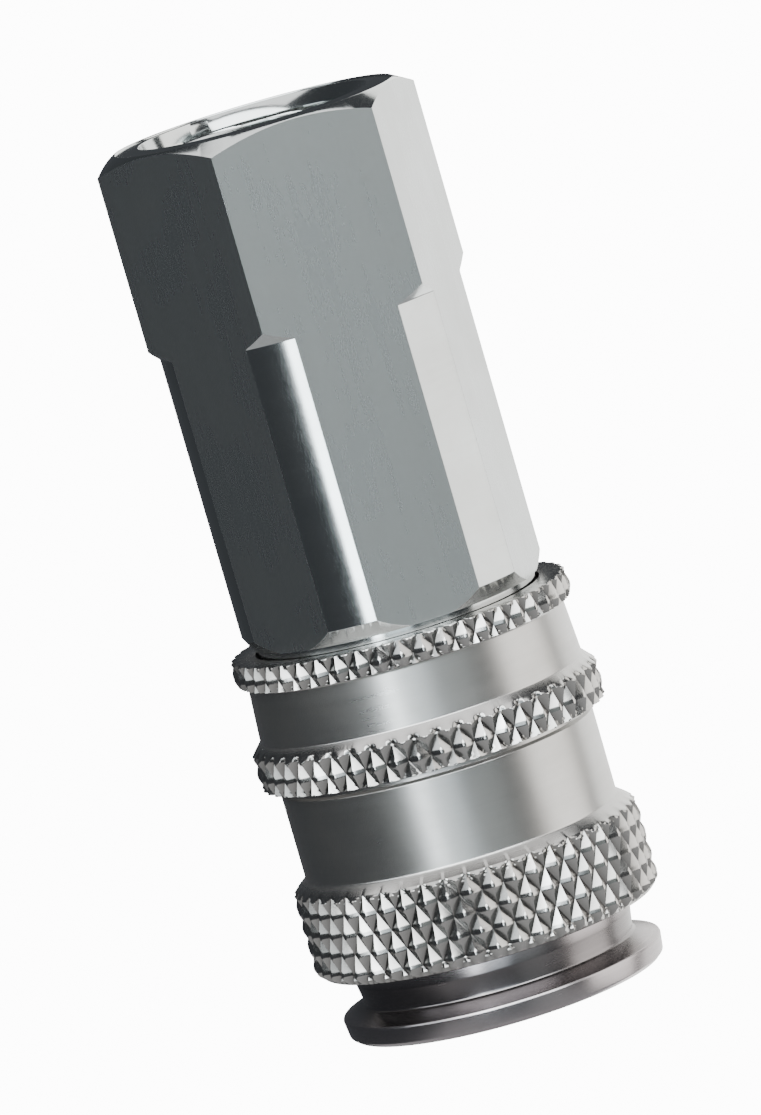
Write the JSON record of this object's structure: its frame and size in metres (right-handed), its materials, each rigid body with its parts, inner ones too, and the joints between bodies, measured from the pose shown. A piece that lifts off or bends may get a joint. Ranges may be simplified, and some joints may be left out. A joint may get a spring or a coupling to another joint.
{
  "type": "quick disconnect coupler",
  "caption": "Socket half of an air-line quick coupling: hexagon body with a threaded hose port, knurled release sleeve, locking balls and a spring-closed valve.",
  "frame": {"origin": "on the coupler's axis, in the plane of the nose face where the plug goes in, which is the bottom of the box", "axes": "+Z along the axis from the nose towards the hose port; one hexagon flat faces -Y, so two hexagon corners lie on X"},
  "size_m": [0.0258, 0.0258, 0.0664],
  "materials": {
    "nickel_body": "satin nickel plating over fine lathe and bar-drawing marks",
    "nickel_barrel": "satin nickel plating, a little darker and warmer",
    "nickel_sleeve": "satin nickel plating with diamond-knurled lands",
    "hard_steel": "polished hardened balls",
    "spring_steel": "drawn wire and punched strip, lightly oiled",
    "valve_brass": "turned, uncoated",
    "retainer_brass": "turned, uncoated",
    "nitrile_rubber": "matt black"
  },
  "bodies": {
    "body": {"rear_body": "nickel_body", "front_barrel": "nickel_barrel", "spring_retainer": "retainer_brass", "body_o_ring": "nitrile_rubber", "sleeve_spring": "spring_steel", "valve_spring": "spring_steel"},
    "sleeve_carrier": {"sleeve_thrust_washer": "spring_steel"},
    "sleeve": {"release_sleeve": "nickel_sleeve"},
    "valve": {"valve_front_ring": "valve_brass", "plug_seal": "nitrile_rubber", "valve_tube": "valve_brass", "valve_o_ring": "nitrile_rubber", "valve_head": "valve_brass", "valve_head_seal": "nitrile_rubber"},
    "ball_1": {"locking_ball_1": "hard_steel"},
    "ball_2": {"locking_ball_2": "hard_steel"},
    "ball_3": {"locking_ball_3": "hard_steel"},
    "ball_4": {"locking_ball_4": "hard_steel"},
    "ball_5": {"locking_ball_5": "hard_steel"},
    "ball_6": {"locking_ball_6": "hard_steel"}
  },
  "joints": [
    {"name": "sleeve_slide", "type": "slide", "parent": "body", "child": "sleeve_carrier", "axis": [0, 0, -1], "range_m": [0, 0.003], "stiffness_N_per_m": 1500, "springref_m": -0.0056, "deforming": ["sleeve_spring"]},
    {"name": "sleeve_spin", "type": "hinge", "parent": "sleeve_carrier", "child": "sleeve", "pos_m": [0, 0, 0.015], "axis": [0, 0, 1], "continuous": true},
    {"name": "valve_slide", "type": "slide", "parent": "body", "child": "valve", "axis": [0, 0, 1], "range_m": [0, 0.0045], "deforming": ["valve_spring"]},
    {"name": "ball_1_slide", "type": "slide", "parent": "body", "child": "ball_1", "axis": [-0.866, -0.5, 0], "range_m": [0, 0.0012]},
    {"name": "ball_2_slide", "type": "slide", "parent": "body", "child": "ball_2", "axis": [0, -1, 0], "range_m": [0, 0.0012]},
    {"name": "ball_3_slide", "type": "slide", "parent": "body", "child": "ball_3", "axis": [0.866, -0.5, 0], "range_m": [0, 0.0012]},
    {"name": "ball_4_slide", "type": "slide", "parent": "body", "child": "ball_4", "axis": [0.866, 0.5, 0], "range_m": [0, 0.0012]},
    {"name": "ball_5_slide", "type": "slide", "parent": "body", "child": "ball_5", "axis": [0, 1, 0], "range_m": [0, 0.0012]},
    {"name": "ball_6_slide", "type": "slide", "parent": "body", "child": "ball_6", "axis": [-0.866, 0.5, 0], "range_m": [0, 0.0012]}
  ],
  "couplings": [
    {"joint": "valve_slide", "follows": "sleeve_slide", "ratio": 1.5},
    {"joint": "ball_1_slide", "follows": "sleeve_slide", "ratio": 0.4},
    {"joint": "ball_2_slide", "follows": "sleeve_slide", "ratio": 0.4},
    {"joint": "ball_3_slide", "follows": "sleeve_slide", "ratio": 0.4},
    {"joint": "ball_4_slide", "follows": "sleeve_slide", "ratio": 0.4},
    {"joint": "ball_5_slide", "follows": "sleeve_slide", "ratio": 0.4},
    {"joint": "ball_6_slide", "follows": "sleeve_slide", "ratio": 0.4}
  ]
}
